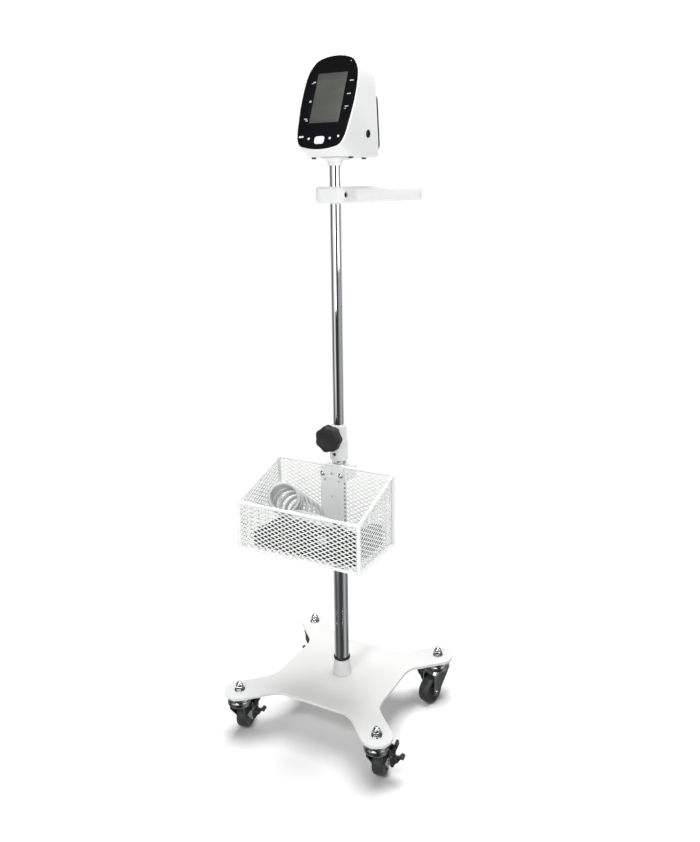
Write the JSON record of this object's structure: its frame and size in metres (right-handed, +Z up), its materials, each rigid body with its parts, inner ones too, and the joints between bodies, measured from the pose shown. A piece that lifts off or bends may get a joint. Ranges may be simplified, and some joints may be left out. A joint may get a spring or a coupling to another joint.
{
  "type": "blood pressure monitor on a wheeled stand",
  "caption": "Blood pressure monitor with a leaning dark screen on a height-adjustable wheeled pole, with a push handle and a mesh basket for the cuff and hose.",
  "frame": {"origin": "on the floor under the pole's axis, at the middle of the base", "axes": "+Z up the pole; -Y is the front, where the screen faces and the basket hangs; +X is to the right of someone who faces the screen"},
  "size_m": [0.3648, 0.3378, 1.2566],
  "materials": {
    "white_paint": "white powder coat",
    "white_plastic": "white moulded plastic",
    "chrome": "bright chrome plate",
    "steel": "zinc-plated steel",
    "black_plastic": "black moulded plastic",
    "bezel_gloss": "gloss black panel",
    "tyre": "dark grey hard rubber",
    "nylon": "natural nylon",
    "lcd": "grey-green liquid-crystal display, off",
    "board": "green circuit board",
    "cuff_fabric": "dark woven nylon",
    "hose": "grey coiled hose",
    "rear_grey": "dark grey moulded plastic"
  },
  "bodies": {
    "stand": {"base_plate": "white_paint", "pole_collar": "white_paint", "collar_ring": "black_plastic", "lower_tube": "chrome", "pole_anchor_bolt": "steel", "acorn_nut_front_left": "chrome", "acorn_nut_front_right": "chrome", "acorn_nut_back_right": "chrome", "acorn_nut_back_left": "chrome", "castor_stem_front_left": "steel", "castor_stem_front_right": "steel", "castor_stem_back_right": "steel", "castor_stem_back_left": "steel", "height_clamp": "white_plastic", "clamp_set_screw": "black_plastic", "guide_bush": "nylon", "basket_frame": "white_paint", "basket_mesh": "white_paint", "bracket_plate": "white_paint", "pole_clamp_front": "white_paint", "pole_clamp_back": "white_paint", "bracket_screw_left": "chrome", "bracket_screw_right": "chrome", "cuff": "cuff_fabric", "cuff_nipple": "black_plastic", "hose_lead_cuff": "hose", "hose_coil": "hose", "hose_lead_end": "hose", "hose_connector": "white_plastic"},
    "knob": {"clamp_knob": "black_plastic"},
    "fork_front_left": {"castor_fork_front_left": "chrome"},
    "wheel_front_left": {"wheel_front_left": "tyre"},
    "pedal_front_left": {"brake_pedal_front_left": "black_plastic"},
    "fork_front_right": {"castor_fork_front_right": "chrome"},
    "wheel_front_right": {"wheel_front_right": "tyre"},
    "pedal_front_right": {"brake_pedal_front_right": "black_plastic"},
    "fork_back_right": {"castor_fork_back_right": "chrome"},
    "wheel_back_right": {"wheel_back_right": "tyre"},
    "pedal_back_right": {"brake_pedal_back_right": "black_plastic"},
    "fork_back_left": {"castor_fork_back_left": "chrome"},
    "wheel_back_left": {"wheel_back_left": "tyre"},
    "pedal_back_left": {"brake_pedal_back_left": "black_plastic"},
    "mast": {"upper_tube": "chrome", "push_handle": "white_plastic", "handle_screw": "steel", "mount_plate": "white_paint", "monitor_casing": "white_plastic", "rear_cover": "rear_grey", "front_bezel": "bezel_gloss", "display": "lcd", "circuit_board": "board", "air_pump": "steel", "deflate_valve": "steel", "battery_pack": "black_plastic", "side_socket": "black_plastic"},
    "button_start": {"button_start": "white_plastic"},
    "button_power": {"button_power": "white_plastic"},
    "button_memory": {"button_memory": "white_plastic"},
    "button_mode": {"button_mode": "white_plastic"},
    "button_interval": {"button_interval": "white_plastic"}
  },
  "joints": [
    {"name": "height_slide", "type": "slide", "parent": "stand", "child": "mast", "axis": [0, 0, 1], "range_m": [-0.36, 0.03]},
    {"name": "knob_turn", "type": "hinge", "parent": "stand", "child": "knob", "pos_m": [0, -0.038, 0.5758], "axis": [0, -1, 0], "range_deg": [0, 720]},
    {"name": "swivel_front_left", "type": "hinge", "parent": "stand", "child": "fork_front_left", "pos_m": [-0.145, -0.1402, 0.07], "axis": [0, 0, 1], "continuous": true},
    {"name": "roll_front_left", "type": "hinge", "parent": "fork_front_left", "child": "wheel_front_left", "pos_m": [-0.14934, -0.11558, 0.026], "axis": [-0.9848, -0.1736, 0], "continuous": true},
    {"name": "brake_front_left", "type": "hinge", "parent": "fork_front_left", "child": "pedal_front_left", "pos_m": [-0.12209, -0.12499, 0.053], "axis": [-0.1736, 0.9848, 0], "range_deg": [0, 15]},
    {"name": "swivel_front_right", "type": "hinge", "parent": "stand", "child": "fork_front_right", "pos_m": [0.145, -0.1402, 0.07], "axis": [0, 0, 1], "continuous": true},
    {"name": "roll_front_right", "type": "hinge", "parent": "fork_front_right", "child": "wheel_front_right", "pos_m": [0.14152, -0.11544, 0.026], "axis": [-0.9903, -0.1392, 0], "continuous": true},
    {"name": "brake_front_right", "type": "hinge", "parent": "fork_front_right", "child": "pedal_front_right", "pos_m": [0.16842, -0.1258, 0.053], "axis": [-0.1392, 0.9903, 0], "range_deg": [0, 15]},
    {"name": "swivel_back_right", "type": "hinge", "parent": "stand", "child": "fork_back_right", "pos_m": [0.145, 0.1402, 0.07], "axis": [0, 0, 1], "continuous": true},
    {"name": "roll_back_right", "type": "hinge", "parent": "fork_back_right", "child": "wheel_back_right", "pos_m": [0.13853, 0.11605, 0.026], "axis": [0.9659, -0.2588, 0], "continuous": true},
    {"name": "brake_back_right", "type": "hinge", "parent": "fork_back_right", "child": "pedal_back_right", "pos_m": [0.11781, 0.1361, 0.053], "axis": [-0.2588, -0.9659, 0], "range_deg": [0, 15]},
    {"name": "swivel_back_left", "type": "hinge", "parent": "stand", "child": "fork_back_left", "pos_m": [-0.145, 0.1402, 0.07], "axis": [0, 0, 1], "continuous": true},
    {"name": "roll_back_left", "type": "hinge", "parent": "fork_back_left", "child": "wheel_back_left", "pos_m": [-0.12055, 0.135, 0.026], "axis": [0.2079, 0.9781, 0], "continuous": true},
    {"name": "brake_back_left", "type": "hinge", "parent": "fork_back_left", "child": "pedal_back_left", "pos_m": [-0.13948, 0.11326, 0.053], "axis": [0.9781, -0.2079, 0], "range_deg": [0, 15]},
    {"name": "press_start", "type": "slide", "parent": "mast", "child": "button_start", "axis": [0, 0.9184, -0.3955], "range_m": [0, 0.001], "stiffness_N_per_m": 500, "springref_m": -0.0005},
    {"name": "press_power", "type": "slide", "parent": "mast", "child": "button_power", "axis": [0, 0.9184, -0.3955], "range_m": [0, 0.001], "stiffness_N_per_m": 500, "springref_m": -0.0005},
    {"name": "press_memory", "type": "slide", "parent": "mast", "child": "button_memory", "axis": [0, 0.9184, -0.3955], "range_m": [0, 0.001], "stiffness_N_per_m": 500, "springref_m": -0.0005},
    {"name": "press_mode", "type": "slide", "parent": "mast", "child": "button_mode", "axis": [0, 0.9184, -0.3955], "range_m": [0, 0.001], "stiffness_N_per_m": 500, "springref_m": -0.0005},
    {"name": "press_interval", "type": "slide", "parent": "mast", "child": "button_interval", "axis": [0, 0.9184, -0.3955], "range_m": [0, 0.001], "stiffness_N_per_m": 500, "springref_m": -0.0005}
  ]
}
